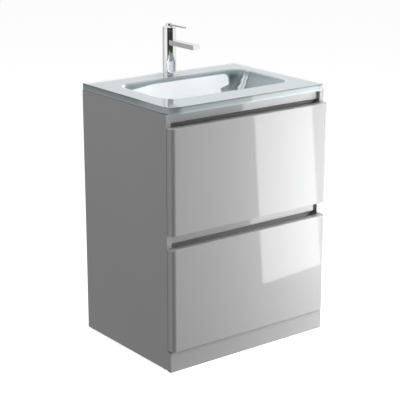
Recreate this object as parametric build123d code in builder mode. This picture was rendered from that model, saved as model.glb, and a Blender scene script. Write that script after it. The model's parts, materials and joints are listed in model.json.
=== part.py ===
from build123d import *

import os
from math import sqrt

# Floor-standing bathroom vanity unit: two handleless drawers under a moulded
# glass basin top, with a single-lever mixer and a click waste.
# Millimetres, +Z up, -Y is the front. The origin is on the floor, in the
# middle of the unit's footprint.

os.makedirs("parts", exist_ok=True)

# ---------------------------------------------------------------- overall
unit_depth = 464
rim_top = 805
basin_width = 600
basin_depth = 460
rim_thickness = 20
carcass_width = 598
board = 16

front_face = -unit_depth / 2
rear_face = unit_depth / 2
rim_underside = rim_top - rim_thickness
inner_half = carcass_width / 2 - board

# ---------------------------------------------------------------- fronts
front_thickness = 24
front_height = 318
front_edge_radius = 15
front_gap = 1
front_back_face = front_face + front_thickness
carcass_front = front_back_face + front_gap
front_bottoms = {"lower": 67, "upper": 427}

# ---------------------------------------------------------------- carcass
glide_height = 3
glide_radius = 7
glide_pin_radius = 1.5
glide_pin_length = 9
glide_y = (-185, 210)
glide_edge = 1
board_arris = 0.6
seal_thickness = 1
seal_width = 12
seal_setback = 2
seal_cut = 0.5
carcass_top = rim_underside - seal_thickness
plinth_thickness = 15
plinth_top = 63
plinth_bottom = 1
floor_panel_z = 70

# ---------------------------------------------------------------- finger-pull rails
rail_face = -198
rail_back = -176
rail_lip_front = -203
rail_lip_height = 6
scoop_rise = 22
scoop_half_height = 10
scoop_radius = sqrt((rail_face - front_back_face) ** 2 + scoop_rise**2)
mid_rail_top = 442

# ---------------------------------------------------------------- rear rails
rear_rail_face = rear_face - board
rear_top_rail_height = 120
rear_lower_rail_height = 100
wall_hole_spacing = 480
wall_hole_radius = 3.5
wall_hole_z = 724

# ---------------------------------------------------------------- cam fittings
bolt_radius = 3.5
bolt_in_side = 11
bolt_in_board = 26.3
cam_radius = 7.4
cam_depth = 12.5
cam_from_end = 34
cam_clearance = 0.3
cam_slot_length = 9
cam_slot_width = 1.6
cam_slot_depth = 3
hole_play = 0.1
rail_bolt_y = -186
bottom_bolt_y = (-150, 170)
top_rail_bolt_z = 770
mid_rail_bolt_z = 420
rear_top_bolt_z = 690
rear_lower_bolt_z = 136

# ---------------------------------------------------------------- drawer boxes
runner_thickness = 12.7
box_half = inner_half - runner_thickness
box_board = 15
box_height = 190
box_rear = 158
box_bottoms = {"lower": 92, "upper": 447}
base_thickness = 8
base_lift = 10
groove_depth = 6
groove_play = 0.1
box_inner_half = box_half - box_board
box_depth = box_rear - front_back_face
box_middle_y = (front_back_face + box_rear) / 2
back_height = box_height - base_lift - base_thickness
bracket_leg = 28
bracket_steel = 2
bracket_height = 36
bracket_inset = 34

# ---------------------------------------------------------------- service cut-out
cut_half = 70
cut_front = -58
cut_radius = 20
surround_board = 12
surround_drop = 20

# ---------------------------------------------------------------- runners
runner_front = -204
runner_length = 350
runner_steel = 1.2
runner_z = {"lower": 165, "upper": 520}
runner_screw_y = (-160, -20, 120)
runner_screw_radius = 1.8
runner_head_radius = 3.2
runner_head_height = 1.4
runner_screw_depth = 12

# ---------------------------------------------------------------- rim and bowl
rim_front_radius = 45
rim_rear_radius = 6
rim_arris = 1.5
bowl_width = 468
bowl_depth = 268
bowl_radius = 50
bowl_y = 2
bowl_fall = 105
bowl_taper = 8
bowl_wall = 12
bowl_lip = 7
bowl_floor_fillet = 26
bowl_under_fillet = 34
bowl_floor = rim_top - bowl_fall
bowl_underside = bowl_floor - bowl_wall

# ---------------------------------------------------------------- waste
waste_hole_radius = 22.5
waste_radius = 20.9
waste_bore = 17
waste_flange_radius = 32
waste_flange_height = 2.5
waste_tail_end = 615
waste_tail_length = 46
waste_washer = 1
waste_washer_inset = 1
waste_flange_edge = 1.2
overflow_z = waste_tail_end + waste_tail_length
overflow_groove = 0.9
overflow_height = 3
spider_arm = 5
spider_hub = 6
spider_thickness = 6
cone_washer_height = 8
cone_washer_rim = 3
cone_washer_land = 4
backnut_height = 12
plug_radius = 30.5
plug_lift = 8
plug_gap = 0.3
plug_thickness = 3
plug_crown = 2.2
plug_crown_radius = (plug_radius**2 + plug_crown**2) / (2 * plug_crown)
plug_stem_radius = 2.5
plug_stem_play = 0.08
plug_stem_end = 672
spider_z = 690
waste_flange_top = bowl_floor + waste_washer + waste_flange_height

# ---------------------------------------------------------------- mixer tap
tap_y = 190
tap_radius = 22
tap_hole_radius = 17.5
tap_ring_radius = 25
tap_ring_height = 3
shank_radius = 16.8
shank_end = 788
chamber_radius = 18.5
chamber_floor = rim_top + 111.5
chamber_top = rim_top + 140
inlet_radius = 4.5
inlet_depth = 14
inlet_x = 9
inlet_y = tap_y - 4
waterway_radius = 3.2
outlet_y = tap_y + 9
spout_arris = 0.6
spout_channel_width = 12
spout_channel_height = 6
spout_width = 26
spout_bottom = rim_top + 95.5
spout_height = 15.5
spout_reach = 143
aerator_radius = 8.9
aerator_setback = 14
aerator_depth = 9
aerator_height = 6
aerator_proud = 1
aerator_jet_radius = 1.2
aerator_jet_circle = 4.5
aerator_outer_jets = 6
cartridge_height = 19.5
cartridge_play = 1
cartridge_recess = 9
recess_below_pivot = 3
cartridge_nut_height = 5
cartridge_nut_bore = 10
carrier_radius = 8.95
carrier_height = 6
carrier_slot = 8
pivot_z = rim_top + 116
dome_radius = 38
dome_hole = 12.1
cap_gap = 0.4
cap_shell = 1.8
hub_radius = 10.5
hub_top = rim_top + 161.7
spindle_radius = 2.5
spindle_below_pivot = 1.6
lever_reach = 90
lever_width = 8
lever_height = 5
lever_z = rim_top + 157.5
stud_y = tap_y + 10
stud_radius = 4
stud_bottom = rim_top - 58
stud_in_block = 12
stud_end_play = 0.5
clamp_thickness = 4
clamp_radius = 25
clamp_slot = 29.5
clamp_slot_end_y = tap_y + 1
clamp_nut_height = 7
clamp_nut_radius = 7.5
ring_edge = 1.5
dome_bore = 14
dome_skirt = 3.5
dome_rise = 6
hub_edge = 1
hub_roof = 3.5
lever_edge = 1.5

SIDES = (("left", -1), ("right", 1))

# Where each cross board is held to the side panels: (y, z) of its cam bolts.
bottom_panel_bolts = tuple((y, floor_panel_z + board / 2) for y in bottom_bolt_y)
top_rail_bolts = ((rail_bolt_y, top_rail_bolt_z),)
mid_rail_bolts = ((rail_bolt_y, mid_rail_bolt_z),)
rear_top_rail_bolts = ((rear_rail_face + board / 2, rear_top_bolt_z),)
rear_lower_rail_bolts = ((rear_rail_face + board / 2, rear_lower_bolt_z),)
cam_bolts_yz = (
    bottom_panel_bolts + top_rail_bolts + mid_rail_bolts + rear_top_rail_bolts + rear_lower_rail_bolts
)
bolt_length = bolt_in_side + bolt_in_board
bolt_middle_x = inner_half + bolt_in_side - bolt_length / 2
cam_x = inner_half - cam_from_end

ALONG_X = (0, 90, 0)
ALONG_Y = (90, 0, 0)


def finish(piece, name):
    """Label a finished piece and write its STEP file."""
    piece.part.label = name
    export_step(piece.part, f"parts/{name}.step")


def both_sides(points, x):
    """Repeat (y, z) points at +x and -x."""
    return [(sign * x, y, z) for _, sign in SIDES for y, z in points]


def scoop_rail(name, top_z, flat_end_z, bolts):
    """Front cross rail: a flat face over a round finger scoop, swept along X."""
    scoop_z = flat_end_z - scoop_rise
    lip_z = scoop_z - sqrt(scoop_radius**2 - (rail_lip_front - front_back_face) ** 2)
    with BuildPart() as rail:
        with BuildSketch(Plane.YZ.offset(-inner_half)):
            with BuildLine():
                Polyline((rail_face, flat_end_z), (rail_face, top_z), (rail_back, top_z))
                Polyline(
                    (rail_back, top_z),
                    (rail_back, lip_z - rail_lip_height),
                    (rail_lip_front, lip_z - rail_lip_height),
                    (rail_lip_front, lip_z),
                )
                ThreePointArc(
                    (rail_lip_front, lip_z),
                    (front_back_face + scoop_radius, scoop_z),
                    (rail_face, flat_end_z),
                )
            make_face()
        extrude(amount=2 * inner_half)
        with Locations(*both_sides(bolts, bolt_middle_x)):
            Cylinder(bolt_radius + hole_play, bolt_length, rotation=ALONG_X, mode=Mode.SUBTRACT)
        with Locations(*[(x, rail_back - cam_depth / 2, z) for x, _, z in both_sides(bolts, cam_x)]):
            Cylinder(cam_radius + hole_play, cam_depth, rotation=ALONG_Y, mode=Mode.SUBTRACT)
    finish(rail, name)


# ================================================================ carcass
for side, sign in SIDES:
    with BuildPart() as side_panel:
        with BuildSketch(Plane.YZ.offset(sign * (inner_half + board / 2))):
            with Locations(((carcass_front + rear_face) / 2, (glide_height + carcass_top) / 2)):
                Rectangle(rear_face - carcass_front, carcass_top - glide_height)
        extrude(amount=board / 2, both=True)
        with Locations(*[(sign * bolt_middle_x, y, z) for y, z in cam_bolts_yz]):
            Cylinder(bolt_radius + hole_play, bolt_length, rotation=ALONG_X, mode=Mode.SUBTRACT)
        screw_middle = sign * (inner_half + runner_screw_depth / 2)
        with Locations(*[(screw_middle, y, z) for y in runner_screw_y for z in runner_z.values()]):
            Cylinder(
                runner_screw_radius + hole_play,
                runner_screw_depth + 2 * hole_play,
                rotation=ALONG_X,
                mode=Mode.SUBTRACT,
            )
        with Locations(*[(sign * (inner_half + board / 2), y, glide_height) for y in glide_y]):
            Cylinder(
                glide_pin_radius + hole_play,
                glide_pin_length + hole_play,
                align=(Align.CENTER, Align.CENTER, Align.MIN),
                mode=Mode.SUBTRACT,
            )
    finish(side_panel, f"side_panel_{side}")

with BuildPart() as bottom_panel:
    with BuildSketch(Plane.XY.offset(floor_panel_z)):
        with Locations((0, (carcass_front + rear_face) / 2)):
            Rectangle(2 * inner_half, rear_face - carcass_front)
    extrude(amount=board)
    with Locations(*both_sides(bottom_panel_bolts, bolt_middle_x)):
        Cylinder(bolt_radius + hole_play, bolt_length, rotation=ALONG_X, mode=Mode.SUBTRACT)
    with Locations(*[(x, y, floor_panel_z) for x, y, _ in both_sides(bottom_panel_bolts, cam_x)]):
        Cylinder(
            cam_radius + hole_play,
            cam_depth,
            align=(Align.CENTER, Align.CENTER, Align.MIN),
            mode=Mode.SUBTRACT,
        )
finish(bottom_panel, "bottom_panel")

with BuildPart() as plinth_board:
    with BuildSketch(Plane.XY.offset(plinth_bottom)):
        with Locations((0, carcass_front - plinth_thickness / 2)):
            Rectangle(carcass_width, plinth_thickness)
    extrude(amount=plinth_top - plinth_bottom)
    chamfer(plinth_board.faces().sort_by(Axis.Y)[0].edges(), length=board_arris)
finish(plinth_board, "plinth_board")

front_tops = {level: bottom + front_height for level, bottom in front_bottoms.items()}
scoop_rail("top_rail", carcass_top, front_tops["upper"] + scoop_half_height, top_rail_bolts)
scoop_rail("mid_rail", mid_rail_top, front_tops["lower"] + scoop_half_height, mid_rail_bolts)

with BuildPart() as rear_top_rail:
    with BuildSketch(Plane.XZ.offset(-rear_rail_face)):
        with Locations((0, carcass_top - rear_top_rail_height / 2)):
            Rectangle(2 * inner_half, rear_top_rail_height)
        with Locations((0, wall_hole_z)):
            with GridLocations(wall_hole_spacing, 0, 2, 1):
                Circle(wall_hole_radius, mode=Mode.SUBTRACT)
    extrude(amount=-board)
    with Locations(*both_sides(rear_top_rail_bolts, bolt_middle_x)):
        Cylinder(bolt_radius + hole_play, bolt_length, rotation=ALONG_X, mode=Mode.SUBTRACT)
    with Locations(
        *[(x, rear_rail_face + cam_depth / 2, z) for x, _, z in both_sides(rear_top_rail_bolts, cam_x)]
    ):
        Cylinder(cam_radius + hole_play, cam_depth, rotation=ALONG_Y, mode=Mode.SUBTRACT)
finish(rear_top_rail, "rear_top_rail")

with BuildPart() as rear_lower_rail:
    with BuildSketch(Plane.XZ.offset(-rear_rail_face)):
        with Locations((0, floor_panel_z + board + rear_lower_rail_height / 2)):
            Rectangle(2 * inner_half, rear_lower_rail_height)
    extrude(amount=-board)
    with Locations(*both_sides(rear_lower_rail_bolts, bolt_middle_x)):
        Cylinder(bolt_radius + hole_play, bolt_length, rotation=ALONG_X, mode=Mode.SUBTRACT)
    with Locations(
        *[(x, rear_rail_face + cam_depth / 2, z) for x, _, z in both_sides(rear_lower_rail_bolts, cam_x)]
    ):
        Cylinder(cam_radius + hole_play, cam_depth, rotation=ALONG_Y, mode=Mode.SUBTRACT)
finish(rear_lower_rail, "rear_lower_rail")

with BuildPart() as cam_bolts:
    with Locations(*both_sides(cam_bolts_yz, bolt_middle_x)):
        Cylinder(bolt_radius, bolt_length, rotation=ALONG_X)
finish(cam_bolts, "cam_bolts")

cam_height = cam_depth - cam_clearance
with BuildPart() as cam_discs:
    with Locations(*[(x, y, floor_panel_z) for x, y, _ in both_sides(bottom_panel_bolts, cam_x)]):
        Cylinder(cam_radius, cam_height, align=(Align.CENTER, Align.CENTER, Align.MIN))
    front_cams = both_sides(top_rail_bolts + mid_rail_bolts, cam_x)
    with Locations(*[(x, rail_back - cam_height / 2, z) for x, _, z in front_cams]):
        Cylinder(cam_radius, cam_height, rotation=ALONG_Y)
    rear_cams = both_sides(rear_top_rail_bolts + rear_lower_rail_bolts, cam_x)
    with Locations(*[(x, rear_rail_face + cam_height / 2, z) for x, _, z in rear_cams]):
        Cylinder(cam_radius, cam_height, rotation=ALONG_Y)
    # Cross slots for the driver.
    with Locations(*[(x, y, floor_panel_z) for x, y, _ in both_sides(bottom_panel_bolts, cam_x)]):
        Box(cam_slot_length, cam_slot_width, cam_slot_depth, mode=Mode.SUBTRACT)
        Box(cam_slot_width, cam_slot_length, cam_slot_depth, mode=Mode.SUBTRACT)
    with Locations(
        *[(x, rail_back, z) for x, _, z in front_cams],
        *[(x, rear_rail_face, z) for x, _, z in rear_cams],
    ):
        Box(cam_slot_length, cam_slot_depth, cam_slot_width, mode=Mode.SUBTRACT)
        Box(cam_slot_width, cam_slot_depth, cam_slot_length, mode=Mode.SUBTRACT)
finish(cam_discs, "cam_discs")

with BuildPart() as floor_glides:
    for _, sign in SIDES:
        with Locations(*[(sign * (inner_half + board / 2), y, 0) for y in glide_y]):
            Cylinder(glide_radius, glide_height, align=(Align.CENTER, Align.CENTER, Align.MIN))
            Cylinder(
                glide_pin_radius,
                glide_height + glide_pin_length,
                align=(Align.CENTER, Align.CENTER, Align.MIN),
            )
    chamfer(floor_glides.faces().group_by(Axis.Z)[0].edges(), length=glide_edge)
finish(floor_glides, "floor_glides")

# Four cut lengths of foam strip between the carcass and the basin.
seal_front = rail_face + seal_setback
seal_rear = rear_face - seal_setback
seal_x = inner_half + board / 2
side_seal_length = seal_rear - seal_front - 2 * (seal_width + seal_cut)
with BuildPart() as basin_seal:
    with BuildSketch(Plane.XY.offset(carcass_top)):
        with Locations((0, seal_front + seal_width / 2), (0, seal_rear - seal_width / 2)):
            Rectangle(2 * seal_x + seal_width, seal_width)
        with Locations(*[(sign * seal_x, (seal_front + seal_rear) / 2) for _, sign in SIDES]):
            Rectangle(seal_width, side_seal_length)
    extrude(amount=seal_thickness)
finish(basin_seal, "basin_seal")

# ================================================================ runners
# u runs from the side panel towards the drawer, v is up from the runner's
# middle; each member is a steel channel with its web at one end of u.
runner_members = {
    "cabinet": {"web": 0, "tip": 10, "half_height": 22.5},
    "middle": {"web": 4.6, "tip": 10.5, "half_height": 18.5},
    "drawer": {"web": runner_thickness, "tip": 7, "half_height": 13.5},
}

for level, middle_z in runner_z.items():
    for side, sign in SIDES:
        for member, shape in runner_members.items():
            inward = 1 if shape["tip"] > shape["web"] else -1
            hollow_web = shape["web"] + inward * runner_steel
            web_x = sign * (inner_half - (shape["web"] + hollow_web) / 2)
            with BuildPart() as channel:
                with BuildSketch(Plane.XZ.offset(-runner_front)):
                    with Locations((sign * (inner_half - (shape["web"] + shape["tip"]) / 2), middle_z)):
                        Rectangle(abs(shape["tip"] - shape["web"]), 2 * shape["half_height"])
                    with Locations((sign * (inner_half - (hollow_web + shape["tip"]) / 2), middle_z)):
                        Rectangle(
                            abs(shape["tip"] - hollow_web),
                            2 * (shape["half_height"] - runner_steel),
                            mode=Mode.SUBTRACT,
                        )
                extrude(amount=-runner_length)
                if member != "middle":
                    with Locations(*[(web_x, y, middle_z) for y in runner_screw_y]):
                        Cylinder(
                            runner_screw_radius + hole_play,
                            2 * runner_steel,
                            rotation=ALONG_X,
                            mode=Mode.SUBTRACT,
                        )
            finish(channel, f"{level}_runner_{side}_{member}")

with BuildPart() as cabinet_runner_screws:
    for _, sign in SIDES:
        points = [(y, z) for y in runner_screw_y for z in runner_z.values()]
        shank_length = runner_screw_depth + runner_steel
        shank_x = sign * (inner_half + runner_screw_depth - shank_length / 2)
        head_x = sign * (inner_half - runner_steel - runner_head_height / 2)
        with Locations(*[(shank_x, y, z) for y, z in points]):
            Cylinder(runner_screw_radius, shank_length, rotation=ALONG_X)
        with Locations(*[(head_x, y, z) for y, z in points]):
            Cylinder(runner_head_radius, runner_head_height, rotation=ALONG_X)
finish(cabinet_runner_screws, "cabinet_runner_screws")

# ================================================================ drawers
for level in ("lower", "upper"):
    bottom_z = box_bottoms[level]
    base_z = bottom_z + base_lift
    base_top = base_z + base_thickness
    box_top = bottom_z + box_height
    front_z = front_bottoms[level]

    with BuildPart() as drawer_front:
        with BuildSketch(Plane.XY.offset(front_z)):
            with Locations((0, front_face + front_thickness / 2)):
                front_outline = Rectangle(carcass_width, front_thickness)
            fillet(front_outline.vertices().group_by(Axis.Y)[0], radius=front_edge_radius)
        extrude(amount=front_height)
        front_plane_edges = drawer_front.faces().sort_by(Axis.Y)[0].edges()
        chamfer(front_plane_edges.filter_by(GeomType.LINE).filter_by(Axis.X), length=board_arris)
    finish(drawer_front, f"{level}_drawer_front")

    for side, sign in SIDES:
        with BuildPart() as drawer_side:
            with BuildSketch(Plane.YZ.offset(sign * (box_half - box_board / 2))):
                with Locations((box_middle_y, bottom_z + box_height / 2)):
                    Rectangle(box_depth, box_height)
            extrude(amount=box_board / 2, both=True)
            groove_x = sign * (box_inner_half + groove_depth / 2)
            with Locations((groove_x, box_middle_y, base_z + base_thickness / 2)):
                Box(groove_depth, box_depth, base_thickness + 2 * groove_play, mode=Mode.SUBTRACT)
        finish(drawer_side, f"{level}_drawer_side_{side}")

    with BuildPart() as drawer_base:
        with BuildSketch(Plane.XY.offset(base_z)):
            with Locations((0, box_middle_y)):
                Rectangle(2 * (box_inner_half + groove_depth - groove_play), box_depth)
            if level == "upper":
                with Locations((0, cut_front + box_depth / 2)):
                    RectangleRounded(2 * cut_half, box_depth, cut_radius, mode=Mode.SUBTRACT)
        extrude(amount=base_thickness)
    finish(drawer_base, f"{level}_drawer_base")

    with BuildPart() as front_brackets:
        for _, sign in SIDES:
            bracket_x = sign * (box_inner_half - bracket_leg / 2)
            plate_x = sign * (box_inner_half - bracket_steel / 2)
            for bracket_z in (base_top + bracket_inset, box_top - bracket_inset):
                with Locations((bracket_x, front_back_face + bracket_steel / 2, bracket_z)):
                    Box(bracket_leg, bracket_steel, bracket_height)
                with Locations((plate_x, front_back_face + bracket_leg / 2, bracket_z)):
                    Box(bracket_steel, bracket_leg, bracket_height)
    finish(front_brackets, f"{level}_front_brackets")

with BuildPart() as lower_back:
    with BuildSketch(Plane.XY.offset(box_bottoms["lower"] + base_lift + base_thickness)):
        with Locations((0, box_rear - box_board / 2)):
            Rectangle(2 * box_inner_half, box_board)
    extrude(amount=back_height)
finish(lower_back, "lower_drawer_back")

surround_outer = cut_half + surround_board
upper_base_top = box_bottoms["upper"] + base_lift + base_thickness
for side, sign in SIDES:
    with BuildPart() as upper_back:
        with BuildSketch(Plane.XY.offset(upper_base_top)):
            with Locations((sign * (surround_outer + box_inner_half) / 2, box_rear - box_board / 2)):
                Rectangle(box_inner_half - surround_outer, box_board)
        extrude(amount=back_height)
    finish(upper_back, f"upper_drawer_back_{side}")

with BuildPart() as service_surround:
    with BuildSketch(Plane.XY.offset(upper_base_top)):
        with BuildLine():
            surround_path = FilletPolyline(
                (-cut_half, box_rear),
                (-cut_half, cut_front),
                (cut_half, cut_front),
                (cut_half, box_rear),
                radius=cut_radius,
            )
            offset(surround_path, amount=surround_board, side=Side.RIGHT)
        make_face()
    extrude(amount=back_height - surround_drop)
finish(service_surround, "service_surround")

# ================================================================ basin
with BuildPart() as glass_basin:
    with BuildSketch(Plane.XY.offset(rim_underside)):
        with Locations((0, rear_face - basin_depth / 2)):
            rim_outline = Rectangle(basin_width, basin_depth)
        fillet(rim_outline.vertices().group_by(Axis.Y)[0], radius=rim_front_radius)
        fillet(rim_outline.vertices().group_by(Axis.Y)[-1], radius=rim_rear_radius)
    extrude(amount=rim_thickness)
    chamfer(glass_basin.faces().group_by(Axis.Z)[-1].edges(), length=rim_arris)
    chamfer(glass_basin.faces().group_by(Axis.Z)[0].edges(), length=rim_arris)
    with BuildSketch(Plane.XY.offset(rim_underside)):
        with Locations((0, bowl_y)):
            RectangleRounded(bowl_width + bowl_wall, bowl_depth + bowl_wall, bowl_radius + bowl_wall)
    extrude(amount=bowl_underside - rim_underside, taper=bowl_taper)
    fillet(glass_basin.faces().sort_by(Axis.Z)[0].edges(), radius=bowl_under_fillet)
    with BuildSketch(Plane.XY.offset(rim_top)):
        with Locations((0, bowl_y)):
            RectangleRounded(bowl_width, bowl_depth, bowl_radius)
    extrude(amount=-bowl_fall, taper=bowl_taper, mode=Mode.SUBTRACT)
    bowl_floor_face = glass_basin.faces().filter_by(Axis.Z).filter_by(
        lambda face: abs(face.center().Z - bowl_floor) < 0.01
    )
    fillet(bowl_floor_face.edges(), radius=bowl_floor_fillet)
    lip_edges = glass_basin.edges().filter_by(
        lambda edge: abs(edge.center().Z - rim_top) < 0.01
        and abs(edge.center().X) < bowl_width / 2 + 1
        and abs(edge.center().Y - bowl_y) < bowl_depth / 2 + 1
    )
    fillet(lip_edges, radius=bowl_lip)
    with Locations((0, tap_y, rim_top)):
        Hole(tap_hole_radius, depth=rim_thickness)
    with Locations((0, bowl_y, bowl_floor)):
        Hole(waste_hole_radius, depth=bowl_wall)
finish(glass_basin, "glass_basin")

# ================================================================ waste
with BuildPart() as waste_top_washer:
    with BuildSketch(Plane.XY.offset(bowl_floor)):
        with Locations((0, bowl_y)):
            Circle(waste_flange_radius - waste_washer_inset)
            Circle(waste_radius + hole_play, mode=Mode.SUBTRACT)
    extrude(amount=waste_washer)
finish(waste_top_washer, "waste_top_washer")

with BuildPart() as waste_body:
    with BuildSketch(Plane.XY.offset(waste_tail_end)):
        with Locations((0, bowl_y)):
            Circle(waste_radius)
    extrude(amount=waste_flange_top - waste_tail_end)
    with BuildSketch(Plane.XY.offset(overflow_z)):
        with Locations((0, bowl_y)):
            Circle(waste_radius)
            Circle(waste_radius - overflow_groove, mode=Mode.SUBTRACT)
    extrude(amount=overflow_height, mode=Mode.SUBTRACT)
    with BuildSketch(Plane.XY.offset(waste_flange_top - waste_flange_height)):
        with Locations((0, bowl_y)):
            Circle(waste_flange_radius)
    extrude(amount=waste_flange_height)
    fillet(waste_body.faces().sort_by(Axis.Z)[-1].edges(), radius=waste_flange_edge)
    with Locations((0, bowl_y, waste_flange_top)):
        Hole(waste_bore, depth=waste_flange_top - waste_tail_end)
    # Spider that guides the plug's stem.
    with BuildSketch(Plane.XY.offset(spider_z)):
        with Locations((0, bowl_y)):
            Rectangle(waste_bore + waste_radius, spider_arm)
            Rectangle(spider_arm, waste_bore + waste_radius)
            Circle(spider_hub)
    extrude(amount=spider_thickness)
    with Locations((0, bowl_y, spider_z + spider_thickness)):
        Hole(plug_stem_radius + plug_stem_play, depth=spider_thickness)
finish(waste_body, "waste_body")

with BuildPart() as waste_cone_washer:
    with BuildSketch(Plane.XZ.offset(-bowl_y)):
        with BuildLine():
            Polyline(
                (waste_radius + hole_play, bowl_underside),
                (waste_flange_radius, bowl_underside),
                (waste_flange_radius, bowl_underside - cone_washer_rim),
                (waste_radius + cone_washer_land, bowl_underside - cone_washer_height),
                (waste_radius + hole_play, bowl_underside - cone_washer_height),
                close=True,
            )
        make_face()
    revolve(axis=Axis((0, bowl_y, 0), (0, 0, 1)))
finish(waste_cone_washer, "waste_cone_washer")

with BuildPart() as waste_backnut:
    with BuildSketch(Plane.XY.offset(bowl_underside - cone_washer_height - backnut_height)):
        with Locations((0, bowl_y)):
            RegularPolygon(waste_flange_radius, 6)
            Circle(waste_radius + hole_play, mode=Mode.SUBTRACT)
    extrude(amount=backnut_height)
finish(waste_backnut, "waste_backnut")

plug_bottom = waste_flange_top + plug_gap + plug_lift
plug_top = plug_bottom + plug_thickness + plug_crown
with BuildPart() as waste_plug:
    with BuildSketch(Plane.XY.offset(plug_bottom)):
        with Locations((0, bowl_y)):
            Circle(plug_radius)
    extrude(amount=plug_thickness + plug_crown)
    with Locations((0, bowl_y, plug_top - plug_crown_radius)):
        Sphere(plug_crown_radius, mode=Mode.INTERSECT)
    with BuildSketch(Plane.XY.offset(plug_stem_end)):
        with Locations((0, bowl_y)):
            Circle(plug_stem_radius)
    extrude(amount=plug_bottom - plug_stem_end)
finish(waste_plug, "waste_plug")

# ================================================================ mixer tap
tap_axis = Axis((0, tap_y, 0), (0, 0, 1))
column_start = rim_top + tap_ring_height
waterway_z = spout_bottom + spout_height / 2

with BuildPart() as tap_base_ring:
    with BuildSketch(Plane.XY.offset(rim_top)):
        with Locations((0, tap_y)):
            Circle(tap_ring_radius)
            Circle(shank_radius + hole_play, mode=Mode.SUBTRACT)
    extrude(amount=tap_ring_height)
    ring_rim = tap_base_ring.faces().sort_by(Axis.Z)[-1].edges().sort_by(SortBy.RADIUS)[-1]
    fillet(ring_rim, radius=ring_edge)
finish(tap_base_ring, "tap_base_ring")

# The inlet block is brazed to the column's foot and fills the tap hole of the basin.
with BuildPart() as tap_inlet_block:
    with BuildSketch(Plane.XY.offset(shank_end)):
        with Locations((0, tap_y)):
            Circle(shank_radius)
        with Locations((inlet_x, inlet_y), (-inlet_x, inlet_y)):
            Circle(waterway_radius, mode=Mode.SUBTRACT)
    extrude(amount=column_start - shank_end)
    with Locations((inlet_x, inlet_y, shank_end), (-inlet_x, inlet_y, shank_end)):
        Cylinder(
            inlet_radius,
            inlet_depth,
            align=(Align.CENTER, Align.CENTER, Align.MIN),
            mode=Mode.SUBTRACT,
        )
    with Locations((0, stud_y, shank_end)):
        Cylinder(
            stud_radius + hole_play,
            stud_in_block,
            align=(Align.CENTER, Align.CENTER, Align.MIN),
            mode=Mode.SUBTRACT,
        )
finish(tap_inlet_block, "tap_inlet_block")

with BuildPart() as tap_body:
    with BuildSketch(Plane.XY.offset(column_start)):
        with Locations((0, tap_y)):
            Circle(tap_radius)
        with Locations((inlet_x, inlet_y), (-inlet_x, inlet_y)):
            Circle(waterway_radius, mode=Mode.SUBTRACT)
    extrude(amount=chamber_top - column_start)
    with Locations((0, tap_y, chamber_top)):
        Hole(chamber_radius, depth=chamber_top - chamber_floor)
    # Mixed water leaves the chamber floor and turns forward into the spout.
    with Locations((0, outlet_y, waterway_z)):
        Cylinder(
            waterway_radius,
            chamber_floor - waterway_z,
            align=(Align.CENTER, Align.CENTER, Align.MIN),
            mode=Mode.SUBTRACT,
        )
    with Locations((0, outlet_y, waterway_z)):
        Cylinder(
            waterway_radius,
            outlet_y - tap_y + tap_radius,
            rotation=ALONG_Y,
            align=(Align.CENTER, Align.CENTER, Align.MIN),
            mode=Mode.SUBTRACT,
        )
finish(tap_body, "tap_body")

spout_front = tap_y - spout_reach
aerator_y = spout_front + aerator_setback
with BuildPart() as tap_spout:
    with BuildSketch(Plane.XY.offset(spout_bottom)):
        with Locations((0, (spout_front + tap_y) / 2)):
            Rectangle(spout_width, spout_reach)
        with Locations((0, tap_y)):
            Circle(tap_radius, mode=Mode.SUBTRACT)
    extrude(amount=spout_height)
    spout_edges = tap_spout.edges().filter_by(Axis.Y) + tap_spout.faces().sort_by(Axis.Y)[0].edges()
    chamfer(spout_edges, length=spout_arris)
    with Locations((0, (aerator_y + tap_y) / 2, waterway_z)):
        Box(spout_channel_width, tap_y - aerator_y, spout_channel_height, mode=Mode.SUBTRACT)
    with Locations((0, aerator_y, spout_bottom)):
        Cylinder(
            aerator_radius + hole_play,
            aerator_depth,
            align=(Align.CENTER, Align.CENTER, Align.MIN),
            mode=Mode.SUBTRACT,
        )
finish(tap_spout, "tap_spout")

with BuildPart() as tap_aerator:
    with BuildSketch(Plane.XY.offset(spout_bottom - aerator_proud)):
        with Locations((0, aerator_y)):
            Circle(aerator_radius)
            with PolarLocations(aerator_jet_circle, aerator_outer_jets):
                Circle(aerator_jet_radius, mode=Mode.SUBTRACT)
            Circle(aerator_jet_radius, mode=Mode.SUBTRACT)
    extrude(amount=aerator_height)
finish(tap_aerator, "tap_aerator")

cartridge_top = chamber_floor + cartridge_height
recess_floor = pivot_z - recess_below_pivot
with BuildPart() as tap_cartridge:
    with BuildSketch(Plane.XY.offset(chamber_floor)):
        with Locations((0, tap_y)):
            Circle(chamber_radius - cartridge_play)
    extrude(amount=cartridge_top - chamber_floor)
    with Locations((0, tap_y, cartridge_top)):
        Hole(cartridge_recess, depth=cartridge_top - recess_floor)
finish(tap_cartridge, "tap_cartridge")

with BuildPart() as cartridge_nut:
    with BuildSketch(Plane.XY.offset(cartridge_top)):
        with Locations((0, tap_y)):
            Circle(chamber_radius - hole_play)
            Circle(cartridge_nut_bore, mode=Mode.SUBTRACT)
    extrude(amount=cartridge_nut_height)
finish(cartridge_nut, "cartridge_nut")


def sphere_z(sphere_radius, r):
    """Height of a sphere about the lever's pivot, r away from the tap's axis."""
    return pivot_z + sqrt(sphere_radius**2 - r**2)


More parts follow.
